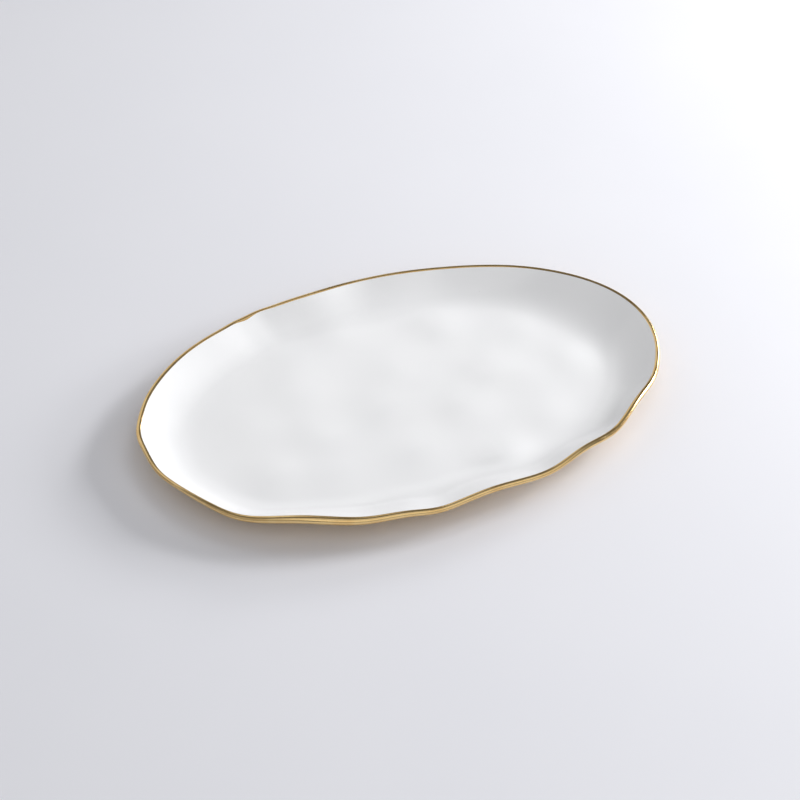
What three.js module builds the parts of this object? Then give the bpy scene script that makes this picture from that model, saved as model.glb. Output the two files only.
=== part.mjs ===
// Oval china serving platter with a hand-pressed, wavy lip.
//
// One body of fired clay, 4.8 mm thick, carries a white glaze lining inside, a polished gold coat
// that wraps the lip and the outside of the wall, a gold base coat inside the foot, and a bare foot
// ring that it stands on. Millimetres, +X along the platter, +Z up, the table at Z = 0.

import * as THREE from 'three';
import { mergeVertices } from 'three/addons/utils/BufferGeometryUtils.js';

// Plan and heights.
const LIP_HALF_LENGTH = 225.2; // to the middle of the lip, along X
const LIP_HALF_WIDTH = 138.8; // to the middle of the lip, along Y
const LIP_HEIGHT = 23.6; // middle of the lip above the table
const WELL_DEPTH = 17.0; // middle of the floor below the middle of the lip
const WALL_RUN_SIDE = 38.0; // plan width of the sloping wall at the long sides
const WALL_RUN_END = 48.0; // plan width of the sloping wall at the two ends
const WALL_FULLNESS = 2.2; // higher keeps the wall steep for longer before it meets the floor

// Thicknesses.
const CHINA_THICKNESS = 4.8; // wall and floor, coats included
const COAT = 0.3; // each glaze or gold coat
const GAP = 0.1; // between one piece and the next

// Foot ring.
const FOOT_HALF_LENGTH = 156.0; // to the middle of the ring
const FOOT_HALF_WIDTH = 85.0;
const FOOT_HALF_THICKNESS = 3.0;
const FOOT_ROUND = 1.0; // rounding of its lower edges

// How far the gold reaches down the inside of the wall, as a share of the wall's run.
const GOLD_REACH = 0.01;
const GOLD_GAP = 0.002; // bare hairline between gold and glaze, as a share of the run too

// Fineness.
const SEGMENTS = 90; // round the oval
const WALL_STEPS = 5; // from the lip to the floor
const LIP_STEPS = 5; // over the half-round lip

// Presses of the hand along the lip: each is centred `at` degrees round the oval, fades out over
// `half` degrees, and pushes the lip `by` millimetres outward and down (inward and up if negative).
const PRESSES = [
  { at: 69, half: 5, by: 0.4 },
  { at: 78, half: 6, by: -0.4 },
  { at: 89, half: 6, by: 1.3 },
  { at: 101, half: 8, by: -2.6 },
  { at: 116, half: 6, by: 1.2 },
  { at: 128, half: 7, by: -1.1 },
  { at: 157, half: 8, by: 1.1 },
  { at: 190, half: 8, by: 1.7 },
  { at: 205, half: 9, by: -0.7 },
  { at: 221, half: 8, by: 3.3 },
  { at: 236, half: 6, by: -1 },
  { at: 249, half: 6, by: 1.5 },
  { at: 264, half: 5, by: 2.4 },
  { at: 276, half: 6, by: -1.8 },
  { at: 289, half: 6, by: 2.3 },
  { at: 299, half: 5, by: -0.9 },
  { at: 309, half: 6, by: 2.4 },
  { at: 321, half: 7, by: -2.2 },
];
const PRESS_OUTWARD = 0.62; // share of a press that goes outward
const PRESS_DOWN = 0.78; // share that goes down

// Where the plan leaves a true oval: `by` millimetres outward, as above.
const BULGES = [
  { at: 20, half: 24, by: 1.6 },
  { at: 48, half: 9, by: 0.5 },
  { at: 75, half: 22, by: -2.3 },
  { at: 100, half: 9, by: -2.3 },
  { at: 114, half: 3, by: 1.2 },
  { at: 120, half: 3, by: 1 },
  { at: 137, half: 14, by: 2.6 },
  { at: 155, half: 10, by: 0.9 },
  { at: 172, half: 7, by: 2 },
  { at: 190, half: 18, by: -3.5 },
  { at: 333, half: 6, by: 0.6 },
];

// Where the wall runs further in before it meets the floor, by `by` millimetres.
const LONGER_RUNS = [
  { at: 20, half: 30, by: 14 },
  { at: 87, half: 13, by: 10 },
  { at: 215, half: 30, by: -8 },
  { at: 265, half: 22, by: 9 },
  { at: 318, half: 20, by: -7 },
];

// Where the wall is fuller.
const FULLER = [
  { at: 15, half: 40, by: 1.3 },
  { at: 200, half: 40, by: -0.8 },
  { at: 265, half: 22, by: 0.9 },
  { at: 310, half: 20, by: -0.5 },
];

// Where the lip was left thicker, by `by` millimetres, or thinner if negative.
const THICKENINGS = [
  { at: 195, half: 22, by: -1.2 },
  { at: 240, half: 16, by: 2.2 },
];

const around = Array.from({ length: SEGMENTS }, (_, i) => (i / SEGMENTS) * 2 * Math.PI);

function total(bumps, t) {
  const degrees = THREE.MathUtils.radToDeg(t);
  let sum = 0;
  for (const { at, half, by } of bumps) {
    const away = THREE.MathUtils.euclideanModulo(degrees - at + 180, 360) - 180;
    sum += by * Math.exp(-((away / half) ** 2));
  }
  return sum;
}

const wallRun = (t) =>
  WALL_RUN_SIDE + (WALL_RUN_END - WALL_RUN_SIDE) * Math.cos(t) ** 2 + total(LONGER_RUNS, t);

// Share of the well's depth reached at share x of the wall's run. Its slope falls off as
// (1 - x^fullness)^2: steep at the lip, level at the floor.
function dropShare(t, x) {
  const fullness = WALL_FULLNESS + total(FULLER, t);
  const drop = (share) =>
    share -
    (2 * share ** (fullness + 1)) / (fullness + 1) +
    share ** (2 * fullness + 1) / (2 * fullness + 1);
  return drop(x) / drop(1);
}

// Point on the middle surface of the wall, at angle t and share x of the run in from the lip.
function wallMiddle(t, x) {
  const inward = x * wallRun(t);
  const outward = new THREE.Vector3(
    LIP_HALF_WIDTH * Math.cos(t),
    LIP_HALF_LENGTH * Math.sin(t),
    0,
  ).normalize();
  const press = total(PRESSES, t) * (1 - x) ** 1.4;
  const bulge = total(BULGES, t) * (1 - inward / LIP_HALF_WIDTH);
  return new THREE.Vector3(
    (LIP_HALF_LENGTH - inward) * Math.cos(t),
    (LIP_HALF_WIDTH - inward) * Math.sin(t),
    LIP_HEIGHT - WELL_DEPTH * dropShare(t, x) - press * PRESS_DOWN,
  ).addScaledVector(outward, press * PRESS_OUTWARD + bulge);
}

// Unit vectors there: `up` out of the inner face, `out` along the wall towards the lip.
function wallDirections(t, x) {
  const dt = 0.001;
  const dx = 0.01;
  const inner = Math.min(x + dx, 1);
  const outer = Math.max(x - dx, 0);
  const along = wallMiddle(t + dt, x).sub(wallMiddle(t - dt, x));
  const out = wallMiddle(t, outer).sub(wallMiddle(t, inner)).normalize();
  const up = out.clone().cross(along).normalize();
  return { up, out };
}

const halfThickness = (t, x) => (CHINA_THICKNESS + total(THICKENINGS, t) * (1 - x) ** 2) / 2;

// A ring on the wall, `depth` millimetres under the finished face. side is 1 inside, -1 outside.
function wallRing(x, side, depth) {
  return around.map((t) => {
    const { up } = wallDirections(t, x);
    return wallMiddle(t, x).addScaledVector(up, side * (halfThickness(t, x) - depth));
  });
}

// A ring on the half-round lip, `turn` degrees from its inner face (0) over to its outer face (180).
function lipRing(turn, depth) {
  const angle = THREE.MathUtils.degToRad(turn);
  return around.map((t) => {
    const { up, out } = wallDirections(t, 0);
    const radius = halfThickness(t, 0) - depth;
    return wallMiddle(t, 0)
      .addScaledVector(up, radius * Math.cos(angle))
      .addScaledVector(out, radius * Math.sin(angle));
  });
}

// A level ring parallel to the foot's middle line, `offset` millimetres outside it.
function footRing(offset, z) {
  return around.map((t) => {
    const outward = new THREE.Vector3(
      FOOT_HALF_WIDTH * Math.cos(t),
      FOOT_HALF_LENGTH * Math.sin(t),
      0,
    ).normalize();
    return new THREE.Vector3(
      FOOT_HALF_LENGTH * Math.cos(t),
      FOOT_HALF_WIDTH * Math.sin(t),
      z,
    ).addScaledVector(outward, offset);
  });
}

const centre = (z) => [new THREE.Vector3(0, 0, z)];
const steps = (from, to, count) =>
  Array.from({ length: count + 1 }, (_, i) => from + ((to - from) * i) / count);

// Rings down the inside of the wall, from the glaze's upper edge to the edge of the floor.
const insideRings = (depth) =>
  steps(0, 1, WALL_STEPS).map((x) => wallRing(Math.max(x, GOLD_REACH + GOLD_GAP), 1, depth));

// Rings down the outside of the wall, from the lip to the edge of the floor.
const outsideRings = (depth) => steps(0, 1, WALL_STEPS).map((x) => wallRing(x, -1, depth));

// Rings over the lip, from the gold's inner edge to just short of the outside of the wall.
const lipRings = (depth) => {
  const turns = steps(0, 180, LIP_STEPS).slice(0, -1);
  return [wallRing(GOLD_REACH, 1, depth), ...turns.map((turn) => lipRing(turn, depth))];
};

// Skins a list of rings into a surface. A ring of one point is a pole; a list that starts and ends
// without poles closes from its last ring to its first. Each four-sided patch is split along its
// shorter diagonal, so that two parallel faces are split alike.
function skin(rings) {
  const corner = (ring, i) => ring[ring.length === 1 ? 0 : i % SEGMENTS];
  const corners = [];
  const bands = rings[0].length === 1 ? rings.length - 1 : rings.length;
  for (let band = 0; band < bands; band += 1) {
    const ring = rings[band];
    const next = rings[(band + 1) % rings.length];
    for (let i = 0; i < SEGMENTS; i += 1) {
      const [a, b] = [corner(ring, i), corner(ring, i + 1)];
      const [c, d] = [corner(next, i), corner(next, i + 1)];
      if (a === b) corners.push(a, c, d);
      else if (c === d) corners.push(a, c, b);
      else if (b.distanceTo(c) < a.distanceTo(d)) corners.push(a, c, b, b, c, d);
      else corners.push(a, c, d, a, d, b);
    }
  }
  return mergeVertices(new THREE.BufferGeometry().setFromPoints(corners));
}

// Heights of the level floor's layers.
const FLOOR_MIDDLE = LIP_HEIGHT - WELL_DEPTH;
const floorTop = (depth) => FLOOR_MIDDLE + CHINA_THICKNESS / 2 - depth;
const floorUnderside = (depth) => FLOOR_MIDDLE - CHINA_THICKNESS / 2 + depth;
const UNDER_COAT = COAT + GAP; // depth of the clay's own surface

// Fired clay: the wall, the lip and the floor in one shell, from the top's centre round the lip to
// the underside's centre.
function porcelainBody() {
  return skin([
    centre(floorTop(UNDER_COAT)),
    ...insideRings(UNDER_COAT).reverse(),
    ...lipRings(UNDER_COAT),
    ...outsideRings(UNDER_COAT),
    centre(floorUnderside(UNDER_COAT)),
  ]);
}

// White glaze over the floor and the inside of the wall.
function glazeLining() {
  return skin([
    centre(floorTop(0)),
    ...insideRings(0).reverse(),
    ...insideRings(COAT),
    centre(floorTop(COAT)),
  ]);
}

// Gold over the lip and down the outside to the foot ring.
function goldCoat() {
  const edge = FOOT_HALF_THICKNESS + GAP;
  return skin([
    ...lipRings(0),
    ...outsideRings(0),
    footRing(edge, floorUnderside(0)),
    footRing(edge, floorUnderside(COAT)),
    ...outsideRings(COAT).reverse(),
    ...lipRings(COAT).reverse(),
  ]);
}

// Gold over the underside inside the foot ring.
function baseCoat() {
  const edge = -(FOOT_HALF_THICKNESS + GAP);
  return skin([
    centre(floorUnderside(COAT)),
    footRing(edge, floorUnderside(COAT)),
    footRing(edge, floorUnderside(0)),
    centre(floorUnderside(0)),
  ]);
}

// Bare clay ring that the platter stands on.
function footRingPiece() {
  const top = floorUnderside(COAT);
  const side = FOOT_HALF_THICKNESS;
  return skin([
    footRing(side, top),
    footRing(side, FOOT_ROUND),
    footRing(side - FOOT_ROUND, 0),
    footRing(FOOT_ROUND - side, 0),
    footRing(-side, FOOT_ROUND),
    footRing(-side, top),
  ]);
}

function piece(name, geometry, material) {
  const mesh = new THREE.Mesh(geometry, new THREE.MeshStandardMaterial(material));
  mesh.name = name;
  return mesh;
}

const WHITE_GLAZE = { color: 0xf4f4f5, roughness: 0.1, metalness: 0 };
const BARE_CLAY = { color: 0xece7dd, roughness: 0.85, metalness: 0 };
const GOLD = { color: 0xd9ab55, roughness: 0.18, metalness: 1 };

const platter = new THREE.Group();
platter.add(
  piece('porcelain_body', porcelainBody(), BARE_CLAY),
  piece('glaze_lining', glazeLining(), WHITE_GLAZE),
  piece('gold_coat', goldCoat(), GOLD),
  piece('base_coat', baseCoat(), GOLD),
  piece('foot_ring', footRingPiece(), BARE_CLAY),
);

// The waves make the plan slightly lopsided, so the platter is centred on the origin.
const middle = new THREE.Box3().setFromObject(platter).getCenter(new THREE.Vector3());
platter.position.set(-middle.x, -middle.y, 0);

export default platter;
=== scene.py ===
import math

import bpy
import numpy as np
from mathutils import Matrix, Vector


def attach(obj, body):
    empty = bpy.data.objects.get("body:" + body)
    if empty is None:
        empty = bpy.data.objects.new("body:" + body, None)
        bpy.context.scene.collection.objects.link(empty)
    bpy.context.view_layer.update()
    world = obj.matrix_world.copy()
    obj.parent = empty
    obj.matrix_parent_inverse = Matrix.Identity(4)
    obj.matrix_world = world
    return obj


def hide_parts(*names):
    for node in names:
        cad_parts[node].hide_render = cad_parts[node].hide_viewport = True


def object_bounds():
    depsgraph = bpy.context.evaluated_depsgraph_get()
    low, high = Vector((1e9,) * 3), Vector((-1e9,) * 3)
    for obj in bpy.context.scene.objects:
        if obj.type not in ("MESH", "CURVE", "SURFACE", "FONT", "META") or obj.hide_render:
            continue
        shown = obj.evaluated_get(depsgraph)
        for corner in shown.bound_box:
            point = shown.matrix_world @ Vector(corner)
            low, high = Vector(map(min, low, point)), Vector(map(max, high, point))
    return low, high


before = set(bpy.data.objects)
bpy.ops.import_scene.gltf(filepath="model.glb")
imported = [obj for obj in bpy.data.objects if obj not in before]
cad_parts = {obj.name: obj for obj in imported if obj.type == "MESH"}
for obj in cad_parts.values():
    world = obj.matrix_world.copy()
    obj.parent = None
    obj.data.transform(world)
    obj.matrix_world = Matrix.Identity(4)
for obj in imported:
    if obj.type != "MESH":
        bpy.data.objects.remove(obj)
CAD_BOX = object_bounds()

# ---------------------------------------------------------------------------------------------
# Driving dimensions: the CAD part's own, in metres. The finer surface here follows them.
# ---------------------------------------------------------------------------------------------
MM = 0.001
LIP_HALF_LENGTH = 225.2 * MM
LIP_HALF_WIDTH = 138.8 * MM
LIP_HEIGHT = 23.6 * MM
WELL_DEPTH = 17.0 * MM
WALL_RUN_SIDE = 38.0 * MM  # plan width of the sloping wall at the long sides
WALL_RUN_END = 48.0 * MM  # and at the two ends
WALL_FULLNESS = 2.2  # higher keeps the wall steep for longer
CHINA_THICKNESS = 4.8 * MM  # coats included
COAT = 0.3 * MM  # each glaze or gold coat
FOOT_HALF_LENGTH = 156.0 * MM  # to the middle of the ring
FOOT_HALF_WIDTH = 85.0 * MM
FOOT_HALF_THICKNESS = 3.0 * MM
FOOT_ROUND = 1.0 * MM  # rounding of its lower edges
FLOOR_MIDDLE = LIP_HEIGHT - WELL_DEPTH

# Unevenness round the oval is a sum of soft bumps: (degrees round the oval, half width in
# degrees, amount). Amounts are in mm where nothing else is said. Most amounts in PRESSES and
# BULGES came from a least-squares fit to the photograph's outline, rounded and in part changed.
# Their places and half widths were picked from a trace of that outline and from the flutes of
# the far wall.

# Where the hand pressed the lip out and down, or drew it in and up if negative.
PRESSES = [
    (69, 5, 0.4), (78, 6, -0.4), (89, 6, 1.3), (101, 8, -2.6), (116, 6, 1.2), (128, 7, -1.1),
    (157, 8, 1.1), (190, 8, 1.7), (205, 9, -0.7), (221, 8, 3.3), (236, 6, -1.0), (249, 6, 1.5),
    (264, 5, 2.4), (276, 6, -1.8), (289, 6, 2.3), (299, 5, -0.9), (309, 6, 2.4), (321, 7, -2.2),
]
PRESS_OUTWARD = 0.62  # share of a press that goes outward
PRESS_DOWN = 0.78  # share that goes down
PRESS_FADE = 1.4  # the power by which a press fades down the wall
# Where the outline stands out from a true oval, or in from it if negative.
BULGES = [
    (20, 24, 1.6), (48, 9, 0.5), (75, 22, -2.3), (100, 9, -2.3), (114, 3, 1.2), (120, 3, 1.0),
    (137, 14, 2.6), (155, 10, 0.9), (172, 7, 2.0), (190, 18, -3.5), (333, 6, 0.6),
]
# Where the wall runs further in before it meets the floor.
LONGER_RUNS = [(20, 30, 14), (87, 13, 10), (215, 30, -8), (265, 22, 9), (318, 20, -7)]
# Where the wall stays steep for longer: no unit, added to WALL_FULLNESS.
FULLER = [(15, 40, 1.3), (200, 40, -0.8), (265, 22, 0.9), (310, 20, -0.5)]
# Where the lip was left thicker, or thinner if negative.
THICKENINGS = [(195, 22, -1.2), (240, 16, 2.2)]
THICKENING_FADE = 2  # the power by which a thickening fades down the wall

# How far the gold reaches down the inside of the wall, as a share of the wall's run, and where it
# wanders from that.
GOLD_REACH = 0.01
GOLD_WANDER = [(105, 5, -0.003), (112.5, 2, -0.009), (117.5, 2, 0.026), (130, 8, -0.006)]
GOLD_LEAST_REACH = 0.001

# Fineness of the meshes.
SEGMENTS = 360
WALL_STEPS = 28
FLOOR_STEPS = 36
LIP_STEPS = 12
BASE_STEPS = 10  # from the middle of the underside to the foot
FOOT_ROUND_STEPS = 5
MEASURING_STEPS = 36  # over the lip, when only its size is wanted
SHARP_ANGLE = math.radians(40)  # between faces that aren't shaded as one smooth surface
HAIRLINE = 0.02 * MM  # what keeps two touching pieces apart

AROUND = np.arange(SEGMENTS) * 2 * math.pi / SEGMENTS


# ---------------------------------------------------------------------------------------------
# The platter's shape
# ---------------------------------------------------------------------------------------------
def total(bumps, t):
    """The sum of soft bumps round the oval, in the bumps' own unit."""
    degrees = np.degrees(t)
    result = np.zeros_like(degrees)
    for at, half, by in bumps:
        away = (degrees - at + 180) % 360 - 180
        result += by * np.exp(-((away / half) ** 2))
    return result


def unit(vectors):
    """The vectors scaled to length 1."""
    return vectors / np.linalg.norm(vectors, axis=-1, keepdims=True)


def plan_outward(t, half_length, half_width):
    """Level unit vectors pointing out of an oval."""
    return unit(np.stack([half_width * np.cos(t), half_length * np.sin(t), 0 * t], -1))


def wall_run(t):
    """Plan width of the sloping wall."""
    oval = WALL_RUN_SIDE + (WALL_RUN_END - WALL_RUN_SIDE) * np.cos(t) ** 2
    return oval + total(LONGER_RUNS, t) * MM


def drop_share(t, x):
    """Share of the well's depth reached at share x of the run. Its slope: (1 - x^fullness)^2."""
    fullness = WALL_FULLNESS + total(FULLER, t)

    def drop(share):
        return (
            share
            - 2 * share ** (fullness + 1) / (fullness + 1)
            + share ** (2 * fullness + 1) / (2 * fullness + 1)
        )

    return drop(x) / drop(1.0)


def wall_middle(t, x):
    """Middle surface of the wall, at angle t and share x of the run in from the lip."""
    inward = x * wall_run(t)
    press = total(PRESSES, t) * MM * (1 - x) ** PRESS_FADE
    bulge = total(BULGES, t) * MM * (1 - inward / LIP_HALF_WIDTH)
    level = np.stack(
        [
            (LIP_HALF_LENGTH - inward) * np.cos(t),
            (LIP_HALF_WIDTH - inward) * np.sin(t),
            LIP_HEIGHT - WELL_DEPTH * drop_share(t, x) - press * PRESS_DOWN,
        ],
        -1,
    )
    outward = plan_outward(t, LIP_HALF_LENGTH, LIP_HALF_WIDTH)
    return level + outward * (press * PRESS_OUTWARD + bulge)[:, None]


def wall_directions(t, x):
    """Unit vectors on the wall: up out of its inner face, and out along it to the lip."""
    dt, dx = 0.001, 0.01  # small enough to measure a slope over
    along = wall_middle(t + dt, x) - wall_middle(t - dt, x)
    out = unit(wall_middle(t, np.maximum(x - dx, 0)) - wall_middle(t, np.minimum(x + dx, 1)))
    return unit(np.cross(out, along)), out


def half_thickness(t, x):
    """Half the china's thickness at angle t and share x of the run, coats included."""
    return (CHINA_THICKNESS + total(THICKENINGS, t) * MM * (1 - x) ** THICKENING_FADE) / 2


# The inside keeps soft swellings between the presses of the hand: (x, y, height), all in mm.
# These rows are the output of a least-squares fit to the photograph's shading, kept as it was
# printed, and not chosen by hand.
SWELLINGS = [
    (-132, 10, 1.0), (-129, -47, 1.6), (-86, 33, 1.2), (-85, -19, 1.3), (-85, -62, 0.8),
    (-32, 98, 1.4), (6, 31, 1.2), (-20, -2, 1.1), (-11, -64, 1.0), (58, 77, 1.9), (44, -25, 1.7),
    (78, 2, 2.2), (55, -97, 3.0), (124, 48, 1.0), (150, -9, 2.6), (109, -10, 1.9), (-76, 70, 0.9),
    (107, -65, 1.4),
]
SWELLING_RADIUS = 24 * MM
SWELLING_MIDDLE = 0.8 * MM  # about their mean height over the floor


def swell(points):
    """How high the inside swells over the plain surface, per point."""
    height = np.zeros(len(points))
    for x, y, rise in SWELLINGS:
        squared = ((points[:, :2] - np.array([x, y]) * MM) ** 2).sum(-1)
        height += rise * MM * np.exp(-squared / SWELLING_RADIUS**2)
    return height - SWELLING_MIDDLE


# ---------------------------------------------------------------------------------------------
# Rings of points, which are skinned into surfaces
# ---------------------------------------------------------------------------------------------
INSIDE, OUTSIDE = 1, -1
LIP_TURN = 180.0  # degrees over the lip, from its inner face to its outer one


def wall_ring(x, side, depth):
    """A ring on the wall, depth under its finished face. x may vary round it."""
    up, _ = wall_directions(AROUND, x)
    middle = wall_middle(AROUND, x)
    share = x if side == INSIDE else 0.0
    lift = side * (half_thickness(AROUND, x) - depth) + share * swell(middle)
    return middle + up * lift[:, None]


def lip_ring(turn, depth):
    """A ring on the half-round lip, turn degrees over it from its inner face."""
    up, out = wall_directions(AROUND, 0)
    radius = (half_thickness(AROUND, 0) - depth)[:, None]
    angle = math.radians(turn)
    return wall_middle(AROUND, 0) + up * radius * math.cos(angle) + out * radius * math.sin(angle)


def floor_ring(share, depth):
    """A ring on the floor's top, at that share of the way from its centre to the wall."""
    edge = wall_middle(AROUND, 1.0)
    ring = edge * np.array([share, share, 1])
    ring[:, 2] += CHINA_THICKNESS / 2 - depth + swell(ring)
    return ring


def foot_ring(offset, z):
    """A level ring parallel to the foot's middle line, offset outside it."""
    oval = [FOOT_HALF_LENGTH * np.cos(AROUND), FOOT_HALF_WIDTH * np.sin(AROUND), z + 0 * AROUND]
    outward = plan_outward(AROUND, FOOT_HALF_LENGTH, FOOT_HALF_WIDTH)
    return np.stack(oval, -1) + outward * offset


def under_ring(share, depth):
    """A level ring on the underside, at that share of the way from its centre to the foot."""
    inner = foot_ring(-FOOT_HALF_THICKNESS - HAIRLINE, underside(depth))
    return inner * np.array([share, share, 1])


def underside(depth):
    """The height of the underside's surface, depth in from its finished face."""
    return FLOOR_MIDDLE - CHINA_THICKNESS / 2 + depth


def gold_edge():
    """The share of the wall's run at which the gold meets the glaze, all round the lip."""
    return np.maximum(GOLD_REACH + total(GOLD_WANDER, AROUND), GOLD_LEAST_REACH)


def steps(first, last, count):
    """Evenly spaced values from first to last, with count steps between them."""
    return [first + (last - first) * i / count for i in range(count + 1)]


def floor_rings(depth):
    """From beside the centre out to just inside the wall's foot."""
    return [floor_ring(share, depth) for share in steps(1 / FLOOR_STEPS, 1.0, FLOOR_STEPS - 1)[:-1]]


def inside_rings(depth):
    """From the glaze's upper edge down the inside of the wall to the floor."""
    edge = gold_edge() + HAIRLINE / wall_run(AROUND)
    return [wall_ring(np.maximum(x, edge), INSIDE, depth) for x in steps(0.0, 1.0, WALL_STEPS)]


def outside_rings(depth):
    """From the lip down the outside of the wall to the floor."""
    return [wall_ring(x, OUTSIDE, depth) for x in steps(0.0, 1.0, WALL_STEPS)]


def lip_rings(depth):
    """From the gold's inner edge over the lip to just short of the outside of the wall."""
    over = [lip_ring(turn, depth) for turn in steps(0.0, LIP_TURN, LIP_STEPS)[:-1]]
    return [wall_ring(gold_edge(), INSIDE, depth), *over]


def skin(name, rings, first_pole=None, last_pole=None):
    """A closed mesh from rings. Without poles it closes from its last ring to its first."""
    points = np.concatenate(rings)
    count = len(rings)
    faces = []
    bands = count if first_pole is None else count - 1
    for band in range(bands):
        a, b = band * SEGMENTS, (band + 1) % count * SEGMENTS
        for i in range(SEGMENTS):
            j = (i + 1) % SEGMENTS
            faces.append((a + i, b + i, b + j, a + j))
    if first_pole is not None:
        last = (count - 1) * SEGMENTS
        points = np.concatenate([points, [first_pole, last_pole]])
        for i in range(SEGMENTS):
            j = (i + 1) % SEGMENTS
            faces.append((len(points) - 2, i, j))
            faces.append((last + j, last + i, len(points) - 1))
    mesh = bpy.data.meshes.new(name)
    mesh.from_pydata((points - CENTRING).tolist(), [], faces)
    mesh.polygons.foreach_set("use_smooth", [True] * len(faces))
    mesh.set_sharp_from_angle(angle=SHARP_ANGLE)
    mesh.update()
    piece = bpy.data.objects.new(name, mesh)
    bpy.context.scene.collection.objects.link(piece)
    return piece


def centring():
    """What the CAD part was moved by to stand in the middle of the frame."""
    lip = np.concatenate([lip_ring(turn, 0) for turn in steps(0.0, LIP_TURN, MEASURING_STEPS)])
    middle = (lip.min(0) + lip.max(0)) / 2
    cad_middle = (np.array(CAD_BOX[0]) + np.array(CAD_BOX[1])) / 2
    return np.array([middle[0] - cad_middle[0], middle[1] - cad_middle[1], 0])


CENTRING = centring()


# ---------------------------------------------------------------------------------------------
# Materials
# ---------------------------------------------------------------------------------------------
NOISE_LOW, NOISE_HIGH = 0.3, 0.7  # nearly all of a noise's values lie between these


class Shader:
    """A material with a Principled shader, and short ways to add nodes to it."""

    def __init__(self, name):
        self.material = bpy.data.materials.new(name)
        self.material.use_nodes = True
        self.nodes = self.material.node_tree.nodes
        self.links = self.material.node_tree.links
        self.surface = self.nodes["Principled BSDF"]
        self.coordinates = self.nodes.new("ShaderNodeTexCoord").outputs["Object"]

    def set(self, **values):
        """Sets sockets of the Principled shader, named with _ for each space."""
        for socket, value in values.items():
            self.surface.inputs[socket.replace("_", " ")].default_value = value

    def feed(self, socket, output):
        """Drives a socket of the Principled shader from a node's output."""
        self.links.new(output, self.surface.inputs[socket])

    def noise(self, size, detail=2.0, roughness=0.5):
        """Noise whose blotches are about size metres across."""
        node = self.nodes.new("ShaderNodeTexNoise")
        node.inputs["Scale"].default_value = 1 / size
        node.inputs["Detail"].default_value = detail
        node.inputs["Roughness"].default_value = roughness
        self.links.new(self.coordinates, node.inputs["Vector"])
        return node.outputs["Fac"]

    def specks(self, spacing, size):
        """1 in tiny round specks, 0 elsewhere."""
        cells = self.nodes.new("ShaderNodeTexVoronoi")
        cells.inputs["Scale"].default_value = 1 / spacing
        self.links.new(self.coordinates, cells.inputs["Vector"])
        return self.ramp(cells.outputs["Distance"], [(0.0, (1, 1, 1)), (size / spacing, (0, 0, 0))])

    def ramp(self, value, stops):
        """A colour for a value, from stops of (value, colour)."""
        node = self.nodes.new("ShaderNodeValToRGB")
        elements = node.color_ramp.elements
        while len(elements) < len(stops):
            elements.new(0.5)
        for element, (position, colour) in zip(elements, stops):
            element.position = position
            element.color = (*colour, 1)
        self.links.new(value, node.inputs["Fac"])
        return node.outputs["Color"]

    def blotches(self, noise, low, high):
        """A colour that wanders with a noise between two tones."""
        return self.ramp(noise, [(NOISE_LOW, low), (NOISE_HIGH, high)])

    def mix(self, share, first, second):
        """second over first, by share. first is a colour output, second a colour."""
        node = self.nodes.new("ShaderNodeMix")
        node.data_type = "RGBA"
        self.links.new(share, node.inputs["Factor"])
        self.links.new(first, node.inputs["A"])
        node.inputs["B"].default_value = (*second, 1)
        return node.outputs["Result"]

    def remap(self, noise, low, high):
        """A number that wanders with a noise between low and high."""
        node = self.nodes.new("ShaderNodeMapRange")
        node.inputs["From Min"].default_value = NOISE_LOW
        node.inputs["From Max"].default_value = NOISE_HIGH
        node.inputs["To Min"].default_value = low
        node.inputs["To Max"].default_value = high
        self.links.new(noise, node.inputs["Value"])
        return node.outputs["Result"]

    def bump(self, height, depth, under=None):
        """Relief of about depth metres; under is the normal of a coarser relief."""
        node = self.nodes.new("ShaderNodeBump")
        node.inputs["Strength"].default_value = 1.0
        node.inputs["Distance"].default_value = depth
        self.links.new(height, node.inputs["Height"])
        if under is not None:
            self.links.new(under, node.inputs["Normal"])
        return node.outputs["Normal"]


def white_glaze():
    """Clear gloss over white: nearly even, with faint pooling, orange peel and iron specks."""
    pooled, thin, iron = (0.865, 0.869, 0.885), (0.885, 0.888, 0.902), (0.42, 0.36, 0.3)
    shader = Shader("white_glaze")
    shader.set(IOR=1.5, Specular_IOR_Level=0.5)
    tone = shader.blotches(shader.noise(size=60 * MM), pooled, thin)
    tone = shader.mix(shader.specks(spacing=42 * MM, size=0.35 * MM), tone, iron)
    shader.feed("Base Color", tone)
    shader.feed("Roughness", shader.remap(shader.noise(size=25 * MM), low=0.1, high=0.16))
    peel = shader.bump(shader.noise(size=5 * MM), depth=0.02 * MM)
    fine = shader.bump(shader.noise(size=1.2 * MM), depth=0.002 * MM, under=peel)
    shader.feed("Normal", fine)
    return shader.material


def polished_gold():
    """Fired gold: bright, a little deeper where the brush left it thin, with soft brush relief."""
    deep, bright = (0.78, 0.52, 0.22), (0.9, 0.66, 0.32)
    shader = Shader("polished_gold")
    shader.set(Metallic=1.0)
    tone = shader.blotches(shader.noise(size=14 * MM, detail=3), deep, bright)
    shader.feed("Base Color", tone)
    wear = shader.noise(size=6 * MM, detail=3)
    shader.feed("Roughness", shader.remap(wear, low=0.15, high=0.22))
    peel = shader.bump(shader.noise(size=5 * MM), depth=0.008 * MM)
    fine = shader.bump(shader.noise(size=0.8 * MM), depth=0.0005 * MM, under=peel)
    shader.feed("Normal", fine)
    return shader.material


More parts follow.
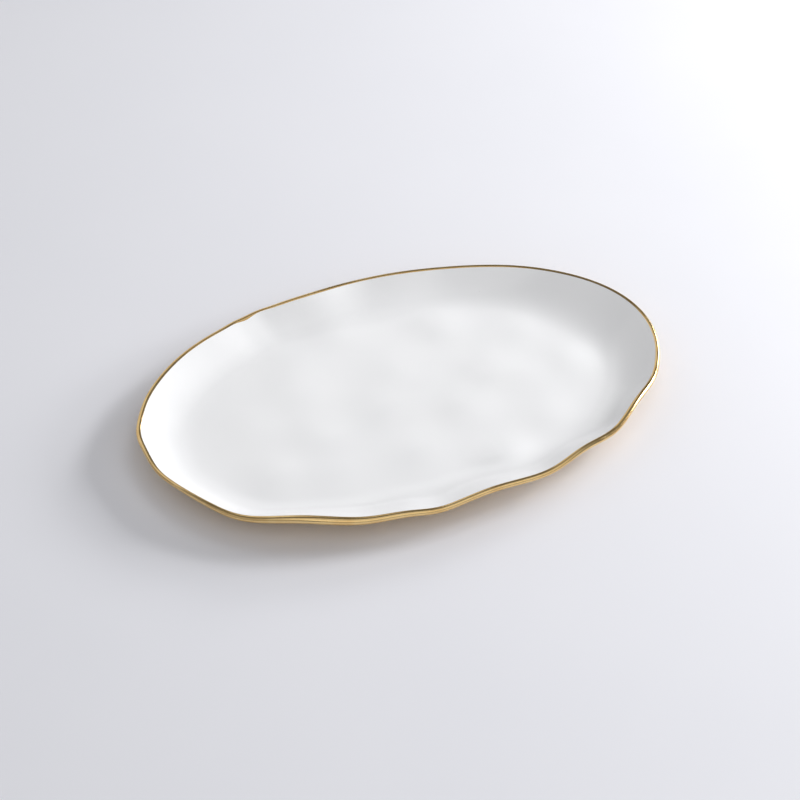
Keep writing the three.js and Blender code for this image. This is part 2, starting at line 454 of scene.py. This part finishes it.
def bare_clay(name, dark, light):
    """Fired clay with no glaze: matte, fine-grained."""
    grit = (0.4, 0.33, 0.26)
    shader = Shader(name)
    shader.set(IOR=1.45)
    tone = shader.blotches(shader.noise(size=9 * MM, detail=4), dark, light)
    tone = shader.mix(shader.specks(spacing=7 * MM, size=0.25 * MM), tone, grit)
    shader.feed("Base Color", tone)
    shader.feed("Roughness", shader.remap(shader.noise(size=3 * MM), low=0.7, high=0.9))
    grain = shader.noise(size=0.5 * MM, detail=4, roughness=0.7)
    shader.feed("Normal", shader.bump(grain, depth=0.03 * MM))
    return shader.material


# ---------------------------------------------------------------------------------------------
# Pieces
# ---------------------------------------------------------------------------------------------
def place(piece, node, material):
    """Gives a piece its material, and its node's place in the part."""
    piece.data.materials.append(material)
    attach(piece, "root")
    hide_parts(node)


def centre(z):
    """The pole in the middle of a level surface."""
    return (0.0, 0.0, z)


def top_centre(depth):
    """The pole in the middle of the floor's top, depth under its finished face."""
    swelling = swell(np.zeros((1, 3)))[0]
    return centre(float(FLOOR_MIDDLE + CHINA_THICKNESS / 2 - depth + swelling))


def make_clay_core():
    """The clay under the glaze and the gold."""
    depth = COAT + HAIRLINE
    rings = [
        *floor_rings(depth),
        *inside_rings(depth)[::-1],
        *lip_rings(depth),
        *outside_rings(depth),
        foot_ring(0, underside(depth)),
    ]
    return skin("clay_core", rings, top_centre(depth), centre(underside(depth)))


def make_glaze():
    """The glaze over the floor and the inside of the wall, a coat thick."""
    rings = [
        *floor_rings(0),
        *inside_rings(0)[::-1],
        *inside_rings(COAT),
        *floor_rings(COAT)[::-1],
    ]
    return skin("glaze_over_well", rings, top_centre(0), top_centre(COAT))


def make_gold():
    """The gold over the lip and down the outside to the foot, a coat thick."""
    edge = FOOT_HALF_THICKNESS + HAIRLINE
    rings = [
        *lip_rings(0),
        *outside_rings(0),
        foot_ring(edge, underside(0)),
        foot_ring(edge, underside(COAT)),
        *outside_rings(COAT)[::-1],
        *lip_rings(COAT)[::-1],
    ]
    return skin("gold_lip_and_outside", rings)


def make_base_gold():
    """The gold on the underside inside the foot, a coat thick."""
    shares = steps(1 / BASE_STEPS, 1.0, BASE_STEPS - 1)
    rings = [under_ring(share, COAT) for share in shares]
    rings += [under_ring(share, 0) for share in shares[::-1]]
    return skin("gold_inside_foot", rings, centre(underside(COAT)), centre(underside(0)))


def make_foot():
    """The foot's section: two upright sides, and rounded edges to the face it stands on."""
    top = underside(COAT)
    side, radius = FOOT_HALF_THICKNESS, FOOT_ROUND
    turns = [math.radians(turn) for turn in steps(0, 90, FOOT_ROUND_STEPS)]
    outer = [
        foot_ring(side - radius + radius * math.cos(a), radius - radius * math.sin(a))
        for a in turns
    ]
    inner = [
        foot_ring(radius - side - radius * math.sin(a), radius - radius * math.cos(a))
        for a in turns
    ]
    return skin("bare_foot", [foot_ring(side, top), *outer, *inner, foot_ring(-side, top)])


GOLD = polished_gold()
CLAY_UNDER_GLAZE = bare_clay("clay_under_glaze", (0.78, 0.75, 0.7), (0.84, 0.81, 0.77))
CLAY_OF_FOOT = bare_clay("clay_of_foot", (0.7, 0.66, 0.6), (0.82, 0.78, 0.72))
place(make_clay_core(), "porcelain_body", CLAY_UNDER_GLAZE)
place(make_glaze(), "glaze_lining", white_glaze())
place(make_gold(), "gold_coat", GOLD)
place(make_base_gold(), "base_coat", GOLD)
place(make_foot(), "foot_ring", CLAY_OF_FOOT)


# ---------------------------------------------------------------------------------------------
# Studio. Directions are given as the camera sees them: right, away, up.
# ---------------------------------------------------------------------------------------------
CAMERA_TURN = math.radians(-20.25)  # the camera's turn about the vertical
CAMERA_RISE = math.radians(45)
CAMERA_DISTANCE = 1.31  # metres
CAMERA_TARGET = (-4.2 * MM, -8.3 * MM, 12 * MM)
CAMERA_LENS = 70  # millimetres
CAMERA_SENSOR = 36  # millimetres
CAMERA_SIGHT = 20  # how far it sees, in metres
TURN = Matrix.Rotation(CAMERA_TURN, 3, "Z")

TABLE_SIZE = 8  # metres each way
ROOM_LIGHT = 0.15  # the strength of the light that comes evenly from all round

# Soft lights: name, turn and rise in degrees, distance and (width, height) in metres, watts. The
# watts of the keys, left_back and high_back came from a fit to the photograph's brightness.
KEY_SIZE = (0.8, 0.45)
PANEL_SIZE = (4.0, 2.8)
SOFTBOXES = [
    ("key_high", 24, 28, 2.6, KEY_SIZE, 29.4),
    ("key_low", 14, 16, 2.6, KEY_SIZE, 26.9),
    ("key_right", 44, 18, 2.6, KEY_SIZE, 22.2),
    ("left_back", 132, 30, 3.0, PANEL_SIZE, 21.0),
    ("left_front", 225, 30, 3.0, PANEL_SIZE, 9.0),
    ("right_front", 300, 26, 3.0, PANEL_SIZE, 13.0),
    ("overhead", 300, 60, 2.4, (3.4, 2.6), 14.5),
]


def seen(right, away, up):
    """A point in the frame from one in the camera's own directions."""
    return TURN @ Vector((right, away, up)) - Vector(CENTRING)


def aim(thing, position, target):
    """Puts a camera or a light at a position, turned to its target."""
    thing.location = position
    thing.rotation_euler = (Vector(target) - Vector(position)).to_track_quat("-Z", "Y").to_euler()
    bpy.context.scene.collection.objects.link(thing)


def add_camera():
    """A camera CAMERA_DISTANCE from its target, looking down on it at CAMERA_RISE."""
    data = bpy.data.cameras.new("camera")
    data.lens = CAMERA_LENS
    data.sensor_width = CAMERA_SENSOR
    data.clip_end = CAMERA_SIGHT
    camera = bpy.data.objects.new("camera", data)
    right, away, up = CAMERA_TARGET
    back = CAMERA_DISTANCE * math.cos(CAMERA_RISE)
    rise = CAMERA_DISTANCE * math.sin(CAMERA_RISE)
    aim(camera, seen(right, away - back, up + rise), seen(right, away, up))
    bpy.context.scene.camera = camera


def add_softbox(name, turn, rise, distance, size, watts, mirrored=True):
    """A soft light, turn degrees round from the camera's right hand and rise degrees up.

    A light that is not mirrored stands for the room's own scattered light, and so makes no
    highlight of its own.
    """
    data = bpy.data.lights.new(name, "AREA")
    data.shape = "RECTANGLE"
    data.size, data.size_y = size
    data.energy = watts
    level = distance * math.cos(math.radians(rise))
    right = level * math.cos(math.radians(turn))
    away = level * math.sin(math.radians(turn))
    up = distance * math.sin(math.radians(rise))
    softbox = bpy.data.objects.new(name, data)
    softbox.visible_glossy = mirrored
    aim(softbox, seen(right, away, up), seen(0, 0, 0))


def add_table():
    """A plain pale sheet, faintly uneven."""
    dull, pale = (0.81, 0.815, 0.865), (0.825, 0.829, 0.877)
    shader = Shader("pale_table")
    shader.set(IOR=1.4, Specular_IOR_Level=0.25)
    shader.feed("Base Color", shader.blotches(shader.noise(size=250 * MM), dull, pale))
    shader.feed("Roughness", shader.remap(shader.noise(size=40 * MM), low=0.5, high=0.6))
    bpy.ops.mesh.primitive_plane_add(size=TABLE_SIZE)
    table = bpy.context.object
    table.name = "table"
    table.data.materials.append(shader.material)


def light_world():
    """An evenly lit, pale room."""
    world = bpy.data.worlds.new("studio")
    bpy.context.scene.world = world
    world.use_nodes = True
    background = world.node_tree.nodes["Background"]
    background.inputs["Color"].default_value = (1, 1, 1, 1)
    background.inputs["Strength"].default_value = ROOM_LIGHT


add_table()
light_world()
for softbox in SOFTBOXES:
    add_softbox(*softbox)
add_softbox("high_back", 60, 66, 1.4, (0.8, 0.5), 2.1, mirrored=False)
add_camera()
bpy.context.scene.view_settings.view_transform = "Standard"
